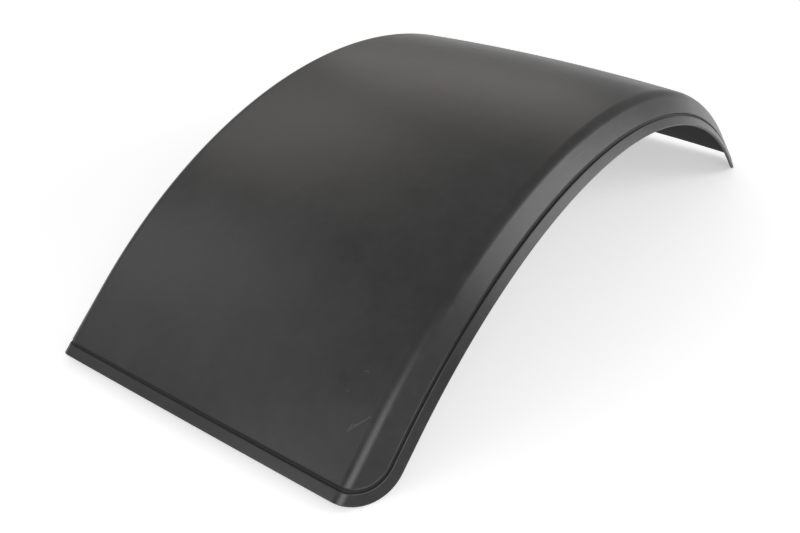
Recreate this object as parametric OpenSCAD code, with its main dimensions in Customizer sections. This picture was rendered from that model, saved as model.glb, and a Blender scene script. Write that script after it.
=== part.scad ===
// Arched truck mudguard, moulded in one piece.
// A crowned panel runs over the wheel between two rounded shoulders, and a flared skirt hangs
// from each shoulder. A groove sets off a flat rim all the way round the open edge.
// The origin is on the ground, midway between the two ends: +X runs along the truck,
// +Y across it and +Z up.

/* [Arch] */
// Radius of the outside of the panel along its middle line
arch_r = 615; // [450:5:800]
// Angle that the round part covers on each side of the top
arch_half = 42; // [30:1:60]
// Length of the straight run at each end of the round part
end_run = 82; // [75:1:200]

/* [Cross section] */
// Width over the two lips
guard_w = 430; // [260:5:700]
// Radius of the crown across the panel
crown_r = 3250; // [1200:50:8000]
// Outside radius of the shoulders
shoulder_r = 17; // [10:0.5:40]
// How far the skirts lean outward over 100 mm of their height
lean = 75; // [20:5:100]
// Length of a skirt from the shoulder to the lip
skirt_len = 36; // [25:0.5:80]
// Thickness of the moulded wall
wall = 4; // [3:0.1:6]

/* [Rim] */
// Distance from the lip to the middle of the groove
rim_w = 13.5; // [8:0.5:20]
// Width of the groove
groove_w = 3; // [1:0.5:6]
// Depth of the groove
groove_d = 2; // [0.5:0.1:2.2]
// Outside radius of the four corners, measured along the skirt
corner_r = 50; // [30:1:70]

/* [Hidden] */
$fn = 180;

// Angle between the direction square to a skirt and the direction square to the panel
skirt_turn = 90 - atan(lean / 100);
// Directions square to a skirt and down it, in the section
out_dir = [cos(skirt_turn), sin(skirt_turn)];
down_dir = [-sin(skirt_turn), cos(skirt_turn)];
// Centre of a shoulder in the section, where X is the distance from the arch's axis.
// It is kept to a hundredth, so that every shape that starts from it meets the others.
shoulder_y = guard_w / 2 - shoulder_r * out_dir.y - skirt_len * down_dir.y;
crown_reach = crown_r - shoulder_r;
shoulder_x = round(100 * (arch_r - crown_r + sqrt(pow(crown_reach, 2) - pow(shoulder_y, 2)))) / 100;
shoulder_mid = [shoulder_x, shoulder_y];
// Angle of the crown where it runs into a shoulder
crown_turn = asin(shoulder_y / crown_reach);
// Numbers of flat strips that make up the crown and each shoulder
crown_strips = 9;
shoulder_strips = 8;
// Length by which fills and cuts run past the wall, and angle by which each half runs past the top
over = 20;
over_turn = 1;
// Spacing of the points at which the corners' lowest point is looked for
ground_step = 0.25;

// Point at a height over a skirt's middle line and a distance down it from the shoulder
function skirt_point(height, along) = shoulder_mid + height * out_dir + along * down_dir;

// Outline of half of the outer surface, moved in by depth, from the middle to the skirt's end
function half_outline(depth, reach) = [
    for (i = [1 : 2 : crown_strips - 1])
        let (turn = crown_turn * i / crown_strips)
            [arch_r - crown_r, 0] + (crown_r - depth) * [cos(turn), sin(turn)],
    for (i = [0 : shoulder_strips])
        let (turn = crown_turn + (skirt_turn - crown_turn) * i / shoulder_strips)
            shoulder_mid + (shoulder_r - depth) * [cos(turn), sin(turn)],
    skirt_point(shoulder_r - depth, reach),
    skirt_point(0, reach)
];

// The same points on the other side of the middle, in the opposite order
function mirrored(points) = [for (i = [len(points) - 1 : -1 : 0]) [points[i].x, -points[i].y]];

// Distance from the arch's axis of the lip's inside, by the distance down the skirt
function lip_x(along) = skirt_point(shoulder_r - wall, along).x;

// How far in from the end a round corner is, by the distance down the skirt
function corner_in(along) =
    corner_r - sqrt(pow(corner_r, 2) - pow(max(0, corner_r - skirt_len + along), 2));

// Height of the arch's axis with the guard standing on its four corners
axis_z = -min([for (along = [0 : ground_step : skirt_len])
    lip_x(along) * cos(arch_half) - (end_run - corner_in(along)) * sin(arch_half)]);

// Everything more than a depth under the outer surface
module below(depth, reach) {
    half = half_outline(depth, reach);
    polygon(concat(half, mirrored(half)));
}

// The same, carried well past the lips
module core(depth)
    below(depth, skirt_len + 2 * over);

// Space between two lines square to the skirts, set in from the lips
module between(inset) {
    foot = skirt_point(0, skirt_len - inset);
    top = foot + ceil((arch_r + over - foot.x) / out_dir.x) * out_dir;
    apex = foot - foot.y / out_dir.y * out_dir;
    polygon([top, [top.x, -top.y], apex]);
}

// Everything under the outer surface and between the lips
module filled()
    intersection() {
        below(0, skirt_len + over);
        between(0);
    }

// Section of the wall, with the groove along both skirts
module wall_section()
    difference() {
        filled();
        core(wall);
        difference() {
            between(rim_w - groove_w / 2);
            between(rim_w + groove_w / 2);
            core(groove_d);
        }
    }

// What lies outside a round corner, with the tip of the square corner at the origin
module corner_waste(radius)
    difference() {
        translate([-over, -radius])
            square(radius + over);
        translate([radius, -radius])
            circle(radius);
    }

// Cutters for the two round corners of an outline set in from the lips and from the end
module corner_cutters(inset)
    for (side = [0, 1])
        mirror([0, side, 0])
            translate([shoulder_x, shoulder_y, end_run - inset])
                rotate([0, 0, skirt_turn])
                    translate([0, skirt_len - inset, 0])
                        rotate([0, 90, 0])
                            linear_extrude(2 * (shoulder_r + over), center = true)
                                corner_waste(corner_r - inset);

// Space inside an outline set in from the lips and from the end, with round corners
module inside(inset)
    difference() {
        translate([0, 0, -over])
            linear_extrude(over + end_run - inset)
                between(inset);
        corner_cutters(inset);
    }

// Everything more than a depth under the outer surface, past both ends of a straight run
module end_core(depth)
    translate([0, 0, -over])
        linear_extrude(end_run + 2 * over)
            core(depth);

// One straight run with its two round corners, and the groove round its end
module end_piece()
    difference() {
        linear_extrude(end_run)
            filled();
        corner_cutters(0);
        end_core(wall);
        difference() {
            inside(rim_w - groove_w / 2);
            inside(rim_w + groove_w / 2);
            end_core(groove_d);
        }
    }

// Half of the guard, from its top to one end, with the arch's axis along Z
module half_guard()
    difference() {
        rotate([0, 0, 90 - arch_half]) {
            rotate_extrude(angle = arch_half + over_turn)
                wall_section();
            rotate([90, 0, 0])
                end_piece();
        }
        translate([-arch_r, 0, -guard_w])
            cube([arch_r, 2 * arch_r, 2 * guard_w]);
    }

module mudguard()
    color([0.17, 0.17, 0.175])
        translate([0, 0, axis_z])
            rotate([90, 0, 0])
                for (end = [0, 1])
                    mirror([end, 0, 0])
                        half_guard();

mudguard();
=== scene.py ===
import math

import bmesh
import bpy
from mathutils import Matrix, Vector


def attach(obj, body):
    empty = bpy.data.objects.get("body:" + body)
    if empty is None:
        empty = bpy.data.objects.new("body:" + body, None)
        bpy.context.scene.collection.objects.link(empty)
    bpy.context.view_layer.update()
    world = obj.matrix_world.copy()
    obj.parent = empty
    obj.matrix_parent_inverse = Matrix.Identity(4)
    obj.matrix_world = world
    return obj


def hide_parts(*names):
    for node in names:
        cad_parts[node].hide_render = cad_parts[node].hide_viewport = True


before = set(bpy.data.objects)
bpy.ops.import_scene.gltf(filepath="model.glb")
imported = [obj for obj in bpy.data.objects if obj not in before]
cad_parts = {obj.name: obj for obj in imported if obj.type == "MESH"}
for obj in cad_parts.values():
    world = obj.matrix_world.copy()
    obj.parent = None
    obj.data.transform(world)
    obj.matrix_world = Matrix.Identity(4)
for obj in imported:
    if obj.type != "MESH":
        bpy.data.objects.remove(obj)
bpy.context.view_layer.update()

lengthwise, crosswise = Vector((1, 0, 0)), Vector((0, 1, 0))    # the flat sheet's two directions
pickGap = 0.0001        # an edge this close to a place counts as being there
cutGap = 0.00001
mergeGap = 0.00002


def focusOn(piece):
    bpy.ops.object.select_all(action="DESELECT")
    piece.select_set(True)
    bpy.context.view_layer.objects.active = piece


def editPiece(piece, mode="FACE"):
    focusOn(piece)
    bpy.ops.object.mode_set(mode="EDIT")
    bpy.ops.mesh.select_mode(type=mode)


def leaveEdit():
    bpy.ops.object.mode_set(mode="OBJECT")


def pickParts(piece, kind, test):
    # selects the faces or edges that pass the test; the piece is in edit mode
    bpy.ops.mesh.select_all(action="DESELECT")
    grid = bmesh.from_edit_mesh(piece.data)
    for part in getattr(grid, kind):
        part.select_set(test(part))
    bmesh.update_edit_mesh(piece.data)


def applyModifier(piece, name):
    focusOn(piece)
    bpy.ops.object.modifier_apply(modifier=name)


# metres and degrees, taken over the outside of the moulding
guard = {
    "archRadius": 0.615,
    "archHalfAngle": 42.0,
    "endRun": 0.082,
    "crownRadius": 3.25,
    "crownHalfAngle": 3.188,
    "shoulderRadius": 0.017,
    "skirtAngle": 53.13,        # between the direction square to a skirt and straight up
    "skirtLength": 0.036,
    "wall": 0.004,
    "cornerRadius": 0.050,
    "cornerSegments": 22,
    "rimWidth": 0.0135,         # from the lip to the middle of the groove
    "grooveWidth": 0.0030,
    "grooveDepth": 0.0020,
    "grooveSlope": 0.0002,      # how far each side of the groove leans
    "brimRounding": (0.0012, 4),    # size and segments
    "footRounding": (0.0003, 2),
    "lipRounding": (0.0007, 3),
    "archStep": 0.75,           # between two slices of the round part
    "endParts": 6,              # what the slices make of each straight run
    "crownParts": 10,           # and of each half of the crown
    "shoulderParts": 16,
    "skirtParts": 3,            # a skirt is sliced only at the first of these
    "smoothAngle": 40,
    "topHeight": 0.2262,
}

crownReach = guard["crownRadius"] * math.radians(guard["crownHalfAngle"])
shoulderTurn = guard["skirtAngle"] - guard["crownHalfAngle"]
shoulderReach = guard["shoulderRadius"] * math.radians(shoulderTurn)
archReach = guard["archRadius"] * math.radians(guard["archHalfAngle"])
halfWidth = crownReach + shoulderReach + guard["skirtLength"]
halfLength = archReach + guard["endRun"]


def borderDistance(x, y):
    # how far a point of the flat sheet is from its outline with the round corners
    dx, dy, radius = halfLength - abs(x), halfWidth - abs(y), guard["cornerRadius"]
    if dx < radius and dy < radius:
        return radius - math.hypot(radius - dx, radius - dy)
    return min(dx, dy)


def flatSheet():
    # a plate with round corners and the wall's thickness, its outside at height 0
    bpy.ops.object.select_all(action="DESELECT")
    bpy.ops.mesh.primitive_plane_add(size=1)
    piece = bpy.context.active_object
    piece.name = "mudguardShell"
    editPiece(piece)
    bpy.ops.mesh.select_all(action="SELECT")
    bpy.ops.transform.resize(value=(2 * halfLength, 2 * halfWidth, 1))
    bpy.ops.mesh.bevel(offset=guard["cornerRadius"], segments=guard["cornerSegments"],
                       affect="VERTICES")
    bpy.ops.mesh.select_all(action="SELECT")
    bpy.ops.mesh.extrude_region_move(TRANSFORM_OT_translate={"value": (0, 0, -guard["wall"])})
    bpy.ops.mesh.select_all(action="SELECT")
    bpy.ops.mesh.normals_make_consistent(inside=False)
    leaveEdit()
    return piece


def pressGroove(piece):
    # four insets of the outside, the second and the last with a depth
    width, depth, slope = guard["grooveWidth"], guard["grooveDepth"], guard["grooveSlope"]
    editPiece(piece)
    pickParts(piece, "faces", lambda face: face.normal.z > 0.9)
    bpy.ops.mesh.inset(thickness=guard["rimWidth"] - width / 2)
    bpy.ops.mesh.inset(thickness=slope, depth=-depth)
    bpy.ops.mesh.inset(thickness=width - 2 * slope)
    bpy.ops.mesh.inset(thickness=slope, depth=depth)
    leaveEdit()


def roundEdges(piece, borders, height, size, segments):
    # edges at one height that run round the sheet at one of the distances from its outline
    def isThere(edge):
        return all(
            min(abs(borderDistance(v.co.x, v.co.y) - b) for b in borders) < pickGap
            and abs(v.co.z - height) < pickGap
            for v in edge.verts
        )

    editPiece(piece, "EDGE")
    pickParts(piece, "edges", isThere)
    bpy.ops.mesh.bevel(offset=size, segments=segments, profile=0.5, affect="EDGES")
    leaveEdit()


def roundRim(piece):
    # the groove's brims and feet, and the two edges of the lip
    middle, width, slope = guard["rimWidth"], guard["grooveWidth"], guard["grooveSlope"]
    brims = (middle - width / 2, middle + width / 2)
    feet = (brims[0] + slope, brims[1] - slope)
    roundEdges(piece, brims, 0, *guard["brimRounding"])
    roundEdges(piece, feet, -guard["grooveDepth"], *guard["footRounding"])
    for height in (0, -guard["wall"]):
        roundEdges(piece, (0,), height, *guard["lipRounding"])


def sliceSheet(piece, places, across):
    # cuts right through the sheet, square to the direction across
    editPiece(piece)
    for place in places:
        bpy.ops.mesh.select_all(action="SELECT")
        bpy.ops.mesh.bisect(plane_co=place * across, plane_no=across, threshold=cutGap)
    bpy.ops.mesh.select_all(action="SELECT")
    bpy.ops.mesh.remove_doubles(threshold=mergeGap)
    leaveEdit()


def sliceForBends(piece):
    # across the length for the arch, then across the width for the crown and the shoulders
    count = round(2 * guard["archHalfAngle"] / guard["archStep"])
    places = [-archReach + 2 * archReach * i / count for i in range(count + 1)]
    ends, step = guard["endParts"], guard["endRun"] / guard["endParts"]
    places += [side * (archReach + step * i) for side in (-1, 1) for i in range(1, ends)]
    sliceSheet(piece, places, lengthwise)

    crown, shoulder = guard["crownParts"], guard["shoulderParts"]
    places = [crownReach * i / crown for i in range(crown + 1)]
    places += [crownReach + shoulderReach * i / shoulder for i in range(1, shoulder + 1)]
    places += [crownReach + shoulderReach + guard["skirtLength"] / guard["skirtParts"]]
    places = [-p for p in places[:0:-1]] + places
    sliceSheet(piece, places, crosswise)


def keepFlatPlaces(piece):
    # places on the flat sheet and distances from the lip, for the marks, the wear, the painted
    # shade in the groove and the painted highlights beside it
    corners = [v.co.copy() for v in piece.data.vertices]
    sheetPlace = piece.data.attributes.new("sheetPlace", "FLOAT_VECTOR", "POINT")
    sheetPlace.data.foreach_set("vector", [c for corner in corners for c in corner])
    fromLip = piece.data.attributes.new("fromLip", "FLOAT", "POINT")
    fromLip.data.foreach_set("value", [borderDistance(corner.x, corner.y) for corner in corners])


def bendSheet(piece, centre, along, start, end, degrees):
    # bends the part between start and end, measured from centre, downwards;
    # what lies beyond it stays straight
    bender = bpy.data.objects.new("bendCentre", None)
    bpy.context.scene.collection.objects.link(bender)
    down = Vector((0, 0, -1))
    turn = Matrix((along, down, along.cross(down))).transposed()
    bender.matrix_world = Matrix.Translation(centre) @ turn.to_4x4()
    bpy.context.view_layer.update()
    reach = [(v.co - centre).dot(along) for v in piece.data.vertices]
    low, high = min(reach), max(reach)
    bend = piece.modifiers.new("bend", "SIMPLE_DEFORM")
    bend.deform_method = "BEND"
    bend.deform_axis = "Z"
    bend.origin = bender
    bend.limits = ((start - low) / (high - low), (end - low) / (high - low))
    bend.angle = math.radians(degrees)
    applyModifier(piece, "bend")
    bpy.data.objects.remove(bender)


def bendToShape(piece):
    # the shoulders first, then the crown, and the arch last
    middle = Vector((0, 0, 0))
    for side in (-1, 1):
        bendSheet(piece, side * crownReach * crosswise, side * crosswise,
                  0, shoulderReach, shoulderTurn)
    bendSheet(piece, middle, crosswise, -crownReach, crownReach, 2 * guard["crownHalfAngle"])
    bendSheet(piece, middle, lengthwise, -archReach, archReach, 2 * guard["archHalfAngle"])


def liftAndSmooth(piece):
    # up to its height over the ground, then faces outwards and smooth shading
    editPiece(piece)
    bpy.ops.mesh.select_all(action="SELECT")
    bpy.ops.transform.translate(value=(0, 0, guard["topHeight"]))
    bpy.ops.mesh.normals_make_consistent(inside=False)
    leaveEdit()
    focusOn(piece)
    bpy.ops.object.shade_smooth_by_angle(angle=math.radians(guard["smoothAngle"]))
    evenShade = piece.modifiers.new("evenShade", "WEIGHTED_NORMAL")
    evenShade.keep_sharp = True
    applyModifier(piece, "evenShade")


def mudguardShell():
    piece = flatSheet()
    pressGroove(piece)
    roundRim(piece)
    print("guard: flat sheet with its groove,", len(piece.data.polygons), "faces")
    sliceForBends(piece)
    print("guard: sliced for bending,", len(piece.data.polygons), "faces")
    keepFlatPlaces(piece)
    bendToShape(piece)
    liftAndSmooth(piece)
    print("guard: bent to shape,", len(piece.data.polygons), "faces")
    return piece


shell = mudguardShell()


# metres and linear colours; limits are the values where a pattern begins and is full
finish = {
    "deepBlack": (0.026, 0.026, 0.0262, 1),
    "paleBlack": (0.040, 0.040, 0.0398, 1),
    # the pale grey of rubbed wear, also used for the painted highlights beside the groove
    "rubbedAndHighlightGrey": (0.115, 0.115, 0.112, 1),
    # painted shade: the inner side is darker, as it lies in shade under the arch
    "innerShadeBlack": (0.012, 0.012, 0.012, 1),
    "outerRoughness": (0.29, 0.36),     # in the deep and in the pale patches
    "innerRoughness": 0.8,
    "innerFrom": 0.6,                   # share of the wall's depth where the inner side begins
    "mottling": {"size": 0.055, "timesFiner": 5, "shares": (0.55, 0.45), "limits": (0.3, 0.7)},
    "grain": {"size": 0.0008, "height": 0.00012, "strength": 0.5,
              "timesSlower": 40, "slowShare": 0.8},
    # turns in radians, and the noise scales along, across and through the lines
    "hairlines": {"turns": (0.45, -0.9), "stretch": (14, 900, 14), "limits": (0.70, 0.76),
                  "patchScale": 9, "patchLimits": (0.48, 0.62), "strength": 0.16},
    "lipWear": {"reach": 0.0013, "unevenScale": 140, "strength": 0.45},
    # distances from the groove's middle where it is fully dull and darkened with painted shade, and
    # where neither is left
    "groove": {"shade": (0.0012, 0.0034), "paintedShadeStrength": 0.8, "extraRoughness": 0.3},
    # two thin painted highlights beside the groove, standing for light caught by its rounded brims;
    # each fade is from full to nothing, on the flat sheet
    "paintedBrimHighlight": {"gap": 0.0023, "width": 0.0007, "strength": 1.0,
                "fadeAlong": (-0.42, -0.33), "fadeAcross": (-0.199, -0.191),
                "brokenScale": 60, "brokenLimits": (0.3, 0.6), "leastLeft": 0.4},
    "rubs": {"chipScale": 700, "chipLimits": (0.35, 0.6), "leastLeft": 0.25,
             "extraRoughness": 0.25},
    # start and end on the flat sheet, half width and strength
    "marks": {
        "lowScuff": ((-0.4702, -0.1659, 0), (-0.4518, -0.1788, 0), 0.0012, 0.85),
        "scuffHead": ((-0.4708, -0.1653, 0), (-0.4655, -0.1665, 0), 0.0018, 0.75),
        "scuffBranch": ((-0.4678, -0.1644, 0), (-0.4618, -0.1712, 0), 0.0009, 0.6),
        "smallRub": ((-0.4165, -0.1531, 0), (-0.4155, -0.1568, 0), 0.0010, 0.7),
        "smallNick": ((-0.4399, -0.1464, 0), (-0.4388, -0.1472, 0), 0.0010, 0.7),
        "skirtScratch": ((-0.1183, -0.2027, 0), (-0.0703, -0.2031, 0), 0.0008, 0.6),
        "crownRub": ((-0.0073, -0.0607, 0), (-0.0162, -0.0781, 0), 0.0020, 0.35),
        "farSpeck": ((-0.2287, 0.1049, 0), (-0.2284, 0.1052, 0), 0.0016, 0.8),
    },
}


def addNode(tree, kind, inputs=None, **settings):
    # one node with its settings, and its inputs set to values or linked to sockets
    node = tree.nodes.new("ShaderNode" + kind)
    for name, value in settings.items():
        setattr(node, name, value)
    for name, value in (inputs or {}).items():
        if isinstance(value, bpy.types.NodeSocket):
            tree.links.new(value, node.inputs[name])
        else:
            node.inputs[name].default_value = value
    return node


def calculate(tree, operation, *values):
    return addNode(tree, "Math", dict(enumerate(values)), operation=operation).outputs[0]


def multiplyAll(tree, first, *others):
    for other in others:
        first = calculate(tree, "MULTIPLY", first, other)
    return first


def vectorStep(tree, operation, first, second):
    return addNode(tree, "VectorMath", {0: first, 1: second}, operation=operation)


def noise(tree, place, scale, detail):
    inputs = {"Vector": place, "Scale": scale, "Detail": detail}
    return addNode(tree, "TexNoise", inputs).outputs[0]


def spread(tree, value, start, end, low=0, high=1, **settings):
    # low at start, high at end and evenly between them
    inputs = {"Value": value, "From Min": start, "From Max": end, "To Min": low, "To Max": high}
    return addNode(tree, "MapRange", inputs, **settings).outputs[0]


def fade(tree, value, start, end, **settings):
    return spread(tree, value, start, end, 1, 0, **settings)


def mixColours(tree, share, first, second):
    # a Mix node's colour inputs are its sockets 6 and 7, and its colour output is number 2
    inputs = {"Factor": share, 6: first, 7: second}
    return addNode(tree, "Mix", inputs, data_type="RGBA").outputs[2]


def newGroup(name, takes, gives):
    # an input with no value of its own is a vector; the output is a single float
    tree = bpy.data.node_groups.new(name, "ShaderNodeTree")
    for label, value in takes.items():
        kind = "NodeSocketVector" if value is None else "NodeSocketFloat"
        socket = tree.interface.new_socket(label, in_out="INPUT", socket_type=kind)
        if value is not None:
            socket.default_value = value
    tree.interface.new_socket(gives, in_out="OUTPUT", socket_type="NodeSocketFloat")
    given = tree.nodes.new("NodeGroupInput").outputs
    return tree, given, tree.nodes.new("NodeGroupOutput").inputs[gives]


def mottlingGroup():
    # soft patches with finer ones inside them, from 0 to 1
    look = finish["mottling"]
    takes = {"Place": None, "Patch Size": look["size"]}
    tree, given, result = newGroup("mottling", takes, "Tone")
    scale = calculate(tree, "DIVIDE", 1, given["Patch Size"])
    finerScale = calculate(tree, "MULTIPLY", scale, look["timesFiner"])
    patches = noise(tree, given["Place"], scale, detail=2)
    finer = noise(tree, given["Place"], finerScale, detail=4)
    patchShare, finerShare = look["shares"]
    share = calculate(tree, "MULTIPLY", patches, patchShare)
    share = calculate(tree, "MULTIPLY_ADD", finer, finerShare, share)
    tree.links.new(spread(tree, share, *look["limits"]), result)
    return tree


def grainGroup():
    # the mould's fine grain with a slow unevenness under it
    look = finish["grain"]
    takes = {"Place": None, "Grain Size": look["size"]}
    tree, given, result = newGroup("mouldGrain", takes, "Height")
    scale = calculate(tree, "DIVIDE", 1, given["Grain Size"])
    slowScale = calculate(tree, "DIVIDE", scale, look["timesSlower"])
    grain = noise(tree, given["Place"], scale, detail=1)
    slow = noise(tree, given["Place"], slowScale, detail=1)
    height = calculate(tree, "MULTIPLY_ADD", slow, look["slowShare"], grain)
    tree.links.new(height, result)
    return tree


def rubMarkGroup():
    # a rubbed line between two places, broken up along its length
    look = finish["rubs"]
    takes = {"Place": None, "Start": None, "End": None, "Width": 0.001, "Strength": 0.5}
    tree, given, result = newGroup("rubMark", takes, "Mask")
    run = vectorStep(tree, "SUBTRACT", given["End"], given["Start"]).outputs[0]
    reach = vectorStep(tree, "SUBTRACT", given["Place"], given["Start"]).outputs[0]
    across = vectorStep(tree, "DOT_PRODUCT", reach, run).outputs["Value"]
    length = vectorStep(tree, "DOT_PRODUCT", run, run).outputs["Value"]
    share = calculate(tree, "DIVIDE", across, length)
    share = addNode(tree, "Clamp", {"Value": share}).outputs[0]
    scaled = addNode(tree, "VectorMath", {0: run, "Scale": share}, operation="SCALE").outputs[0]
    gap = vectorStep(tree, "DISTANCE", reach, scaled).outputs["Value"]
    core = fade(tree, gap, 0, given["Width"], interpolation_type="SMOOTHSTEP")
    chips = noise(tree, given["Place"], look["chipScale"], detail=3)
    broken = spread(tree, chips, *look["chipLimits"], low=look["leastLeft"])
    tree.links.new(multiplyAll(tree, core, broken, given["Strength"]), result)
    return tree


def fineScratchGroup():
    # hairlines in two directions, only in some patches
    look = finish["hairlines"]
    takes = {"Place": None, "Strength": look["strength"]}
    tree, given, result = newGroup("fineScratches", takes, "Mask")
    lines = []
    for turn in look["turns"]:
        inputs = {"Vector": given["Place"], "Rotation": (0, 0, turn), "Scale": look["stretch"]}
        turned = addNode(tree, "Mapping", inputs).outputs[0]
        lines.append(spread(tree, noise(tree, turned, 1, detail=1), *look["limits"]))
    either = calculate(tree, "MAXIMUM", *lines)
    where = noise(tree, given["Place"], look["patchScale"], detail=1)
    patch = spread(tree, where, *look["patchLimits"])
    tree.links.new(multiplyAll(tree, either, patch, given["Strength"]), result)
    return tree


def lipWearGroup():
    # paler along the cut edge, with an uneven border
    look = finish["lipWear"]
    takes = {"Place": None, "From Lip": 0, "Reach": look["reach"]}
    tree, given, result = newGroup("lipWear", takes, "Mask")
    uneven = noise(tree, given["Place"], look["unevenScale"], detail=3)
    twice = calculate(tree, "MULTIPLY", given["Reach"], 2)      # the noise is about a half
    limit = calculate(tree, "MULTIPLY", uneven, twice)
    tree.links.new(fade(tree, given["From Lip"], 0, limit), result)
    return tree


def paintedBrimHighlightGroup():
    # two thin painted highlights beside the groove, standing for light caught by its brims, on the
    # near skirt towards its lower corner
    look = finish["paintedBrimHighlight"]
    takes = {"Place": None, "From Middle": 0, "Gap": look["gap"], "Width": look["width"],
             "Strength": look["strength"]}
    tree, given, result = newGroup("paintedBrimHighlight", takes, "Mask")
    off = calculate(tree, "SUBTRACT", given["From Middle"], given["Gap"])
    line = fade(tree, calculate(tree, "ABSOLUTE", off), 0, given["Width"])
    side = addNode(tree, "SeparateXYZ", {0: given["Place"]}).outputs
    along = fade(tree, side["X"], *look["fadeAlong"])
    across = fade(tree, side["Y"], *look["fadeAcross"])
    uneven = noise(tree, given["Place"], look["brokenScale"], detail=3)
    broken = spread(tree, uneven, *look["brokenLimits"], low=look["leastLeft"])
    tree.links.new(multiplyAll(tree, line, given["Strength"], along, across, broken), result)
    return tree


def blackPlastic():
    material = bpy.data.materials.new("blackPlastic")
    material.use_nodes = True
    tree = material.node_tree
    shader = tree.nodes["Principled BSDF"]
    place = addNode(tree, "TexCoord").outputs["Object"]
    sheet = addNode(tree, "Attribute", attribute_name="sheetPlace").outputs["Vector"]
    fromLip = addNode(tree, "Attribute", attribute_name="fromLip").outputs["Fac"]
    middle = calculate(tree, "SUBTRACT", fromLip, guard["rimWidth"])
    middle = calculate(tree, "ABSOLUTE", middle)    # distance from the groove's middle
    grain, hairlines, groove = finish["grain"], finish["hairlines"], finish["groove"]
    lip, brimHighlight = finish["lipWear"], finish["paintedBrimHighlight"]

    def useGroup(group, inputs):
        return addNode(tree, "Group", inputs, node_tree=group).outputs[0]

    tone = useGroup(mottlingGroup(), {"Place": place, "Patch Size": finish["mottling"]["size"]})
    height = useGroup(grainGroup(), {"Place": place, "Grain Size": grain["size"]})

    # the hairlines, the marks, the worn lip and the painted highlights beside the groove make one
    # mask
    rubbedAndHighlit = useGroup(fineScratchGroup(), {"Place": sheet, "Strength": hairlines["strength"]})
    markGroup = rubMarkGroup()
    for start, end, width, strength in finish["marks"].values():
        mark = useGroup(markGroup, {"Place": sheet, "Start": start, "End": end,
                                    "Width": width, "Strength": strength})
        rubbedAndHighlit = calculate(tree, "MAXIMUM", rubbedAndHighlit, mark)
    inputs = {"Place": place, "From Lip": fromLip, "Reach": lip["reach"]}
    wear = calculate(tree, "MULTIPLY", useGroup(lipWearGroup(), inputs), lip["strength"])
    rubbedAndHighlit = calculate(tree, "MAXIMUM", rubbedAndHighlit, wear)
    inputs = {"Place": sheet, "From Middle": middle, "Gap": brimHighlight["gap"],
              "Width": brimHighlight["width"], "Strength": brimHighlight["strength"]}
    rubbedAndHighlit = calculate(tree, "MAXIMUM", rubbedAndHighlit, useGroup(paintedBrimHighlightGroup(), inputs))

    depth = addNode(tree, "SeparateXYZ", {0: sheet}).outputs["Z"]
    # painted shade: the inner side and the groove are darkened, as shade falls under the arch and
    # in the recess; both masks also set the roughness
    inside = calculate(tree, "LESS_THAN", depth, -finish["innerFrom"] * guard["wall"])
    dullAndShaded = fade(tree, middle, *groove["shade"])
    paintedShade = calculate(tree, "MULTIPLY", dullAndShaded, groove["paintedShadeStrength"])
    paintedShade = calculate(tree, "MAXIMUM", inside, paintedShade)
    colour = mixColours(tree, tone, finish["deepBlack"], finish["paleBlack"])
    colour = mixColours(tree, paintedShade, colour, finish["innerShadeBlack"])
    # rubbed wear and the painted brim highlights turn the colour pale grey
    colour = mixColours(tree, rubbedAndHighlit, colour, finish["rubbedAndHighlightGrey"])
    tree.links.new(colour, shader.inputs["Base Color"])

    rough = spread(tree, tone, 0, 1, *finish["outerRoughness"])
    rough = calculate(tree, "MULTIPLY_ADD", rubbedAndHighlit, finish["rubs"]["extraRoughness"], rough)
    rough = calculate(tree, "MULTIPLY_ADD", dullAndShaded, groove["extraRoughness"], rough)
    rough = spread(tree, inside, 0, 1, rough, finish["innerRoughness"])
    tree.links.new(rough, shader.inputs["Roughness"])
    inputs = {"Strength": grain["strength"], "Distance": grain["height"], "Height": height}
    tree.links.new(addNode(tree, "Bump", inputs).outputs[0], shader.inputs["Normal"])
    print("guard: plastic with", len(finish["marks"]), "marks")
    return material


shell.data.materials.clear()
shell.data.materials.append(blackPlastic())
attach(shell, "root")
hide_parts("mudguard")


studio = {
    "floorSize": 16.0,
    "floorColour": (0.85, 0.85, 0.86, 1),
    "floorRoughness": 0.9,
    "floorGlow": 0.50,
    "white": (1, 1, 1, 1),
    "worldLevel": 0.33,
    "lampDistance": 2.6,
    # azimuth from +X and height in degrees, the panel's two sides in metres, watts, colour
    "lamps": {
        "rightLamp": (33, 31, (1.3, 1.1), 3.0, (1.0, 0.92, 0.84)),
        "backRightLamp": (72, 46, (1.3, 0.9), 3.8, (1.0, 0.94, 0.88)),
        "backLeftLamp": (120, 38, (1.1, 1.3), 4.0, (1, 1, 1)),
        "leftLamp": (160, 27, (0.9, 0.9), 4.8, (1, 1, 1)),
        "nearLamp": (220, 28, (1.3, 1.0), 16.5, (1, 1, 1)),
        "frontLamp": (299, 25, (1.5, 0.9), 15, (1, 1, 1)),
        "frontRightLamp": (320, 8, (0.9, 0.9), 8.5, (1, 1, 1)),
    },
    "cameraPlace": (-0.945356, -0.604185, 0.627419),
    "cameraTarget": (-0.121885, 0.0, 0.018747),
    "cameraRoll": 0.3795,
    "sensorWidth": 36,
    "lens": 44.411,
}


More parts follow.
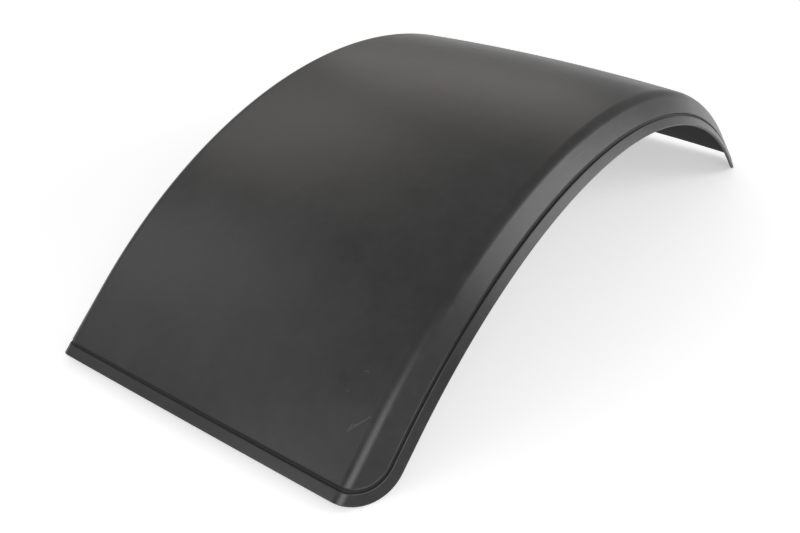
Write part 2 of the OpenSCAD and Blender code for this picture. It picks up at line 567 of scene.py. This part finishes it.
def paleFloor():
    # it glows for the camera and in reflections, and takes the guard's shadow
    bpy.ops.object.select_all(action="DESELECT")
    bpy.ops.mesh.primitive_plane_add(size=studio["floorSize"])
    floor = bpy.context.active_object
    floor.name = "floor"
    material = bpy.data.materials.new("paleFloor")
    material.use_nodes = True
    tree = material.node_tree
    shader = tree.nodes["Principled BSDF"]
    shader.inputs["Base Color"].default_value = studio["floorColour"]
    shader.inputs["Roughness"].default_value = studio["floorRoughness"]
    shader.inputs["Emission Color"].default_value = studio["white"]
    path = addNode(tree, "LightPath").outputs
    seen = calculate(tree, "MAXIMUM", path["Is Camera Ray"], path["Is Glossy Ray"])
    seen = calculate(tree, "MAXIMUM", seen, path["Is Transmission Ray"])
    glow = calculate(tree, "MULTIPLY", seen, studio["floorGlow"])
    tree.links.new(glow, shader.inputs["Emission Strength"])
    floor.data.materials.append(material)


def softLamp(name, azimuth, height, size, power, colour):
    # a soft panel that faces the middle of the ground under the guard
    data = bpy.data.lights.new(name, "AREA")
    data.shape = "RECTANGLE"
    data.size, data.size_y = size
    data.energy = power
    data.color = colour
    lamp = bpy.data.objects.new(name, data)
    bpy.context.scene.collection.objects.link(lamp)
    turn, lift = math.radians(azimuth), math.radians(height)
    way = Vector((math.cos(turn) * math.cos(lift), math.sin(turn) * math.cos(lift), math.sin(lift)))
    lamp.location = studio["lampDistance"] * way
    lamp.rotation_euler = way.to_track_quat("Z", "Y").to_euler()
    lamp.visible_camera = False


def photoCamera():
    data = bpy.data.cameras.new("photoCamera")
    data.sensor_width = studio["sensorWidth"]
    data.lens = studio["lens"]
    camera = bpy.data.objects.new("photoCamera", data)
    bpy.context.scene.collection.objects.link(camera)
    place, target = Vector(studio["cameraPlace"]), Vector(studio["cameraTarget"])
    look = (target - place).to_track_quat("-Z", "Y").to_matrix().to_4x4()
    roll = Matrix.Rotation(math.radians(studio["cameraRoll"]), 4, "Z")
    camera.matrix_world = Matrix.Translation(place) @ look @ roll
    bpy.context.scene.camera = camera


def softRoom():
    # an even pale room that the camera sees as white
    world = bpy.data.worlds.new("softRoom")
    world.use_nodes = True
    tree = world.node_tree
    path = addNode(tree, "LightPath").outputs
    seen = calculate(tree, "MAXIMUM", path["Is Camera Ray"], path["Is Transmission Ray"])
    level = spread(tree, seen, 0, 1, studio["worldLevel"], 1)
    background = tree.nodes["Background"]
    background.inputs["Color"].default_value = studio["white"]
    tree.links.new(level, background.inputs["Strength"])
    bpy.context.scene.world = world


paleFloor()
for name, settings in studio["lamps"].items():
    softLamp(name, *settings)
photoCamera()
softRoom()
bpy.context.scene.view_settings.view_transform = "Standard"
print("studio: floor, lamps, camera and room")
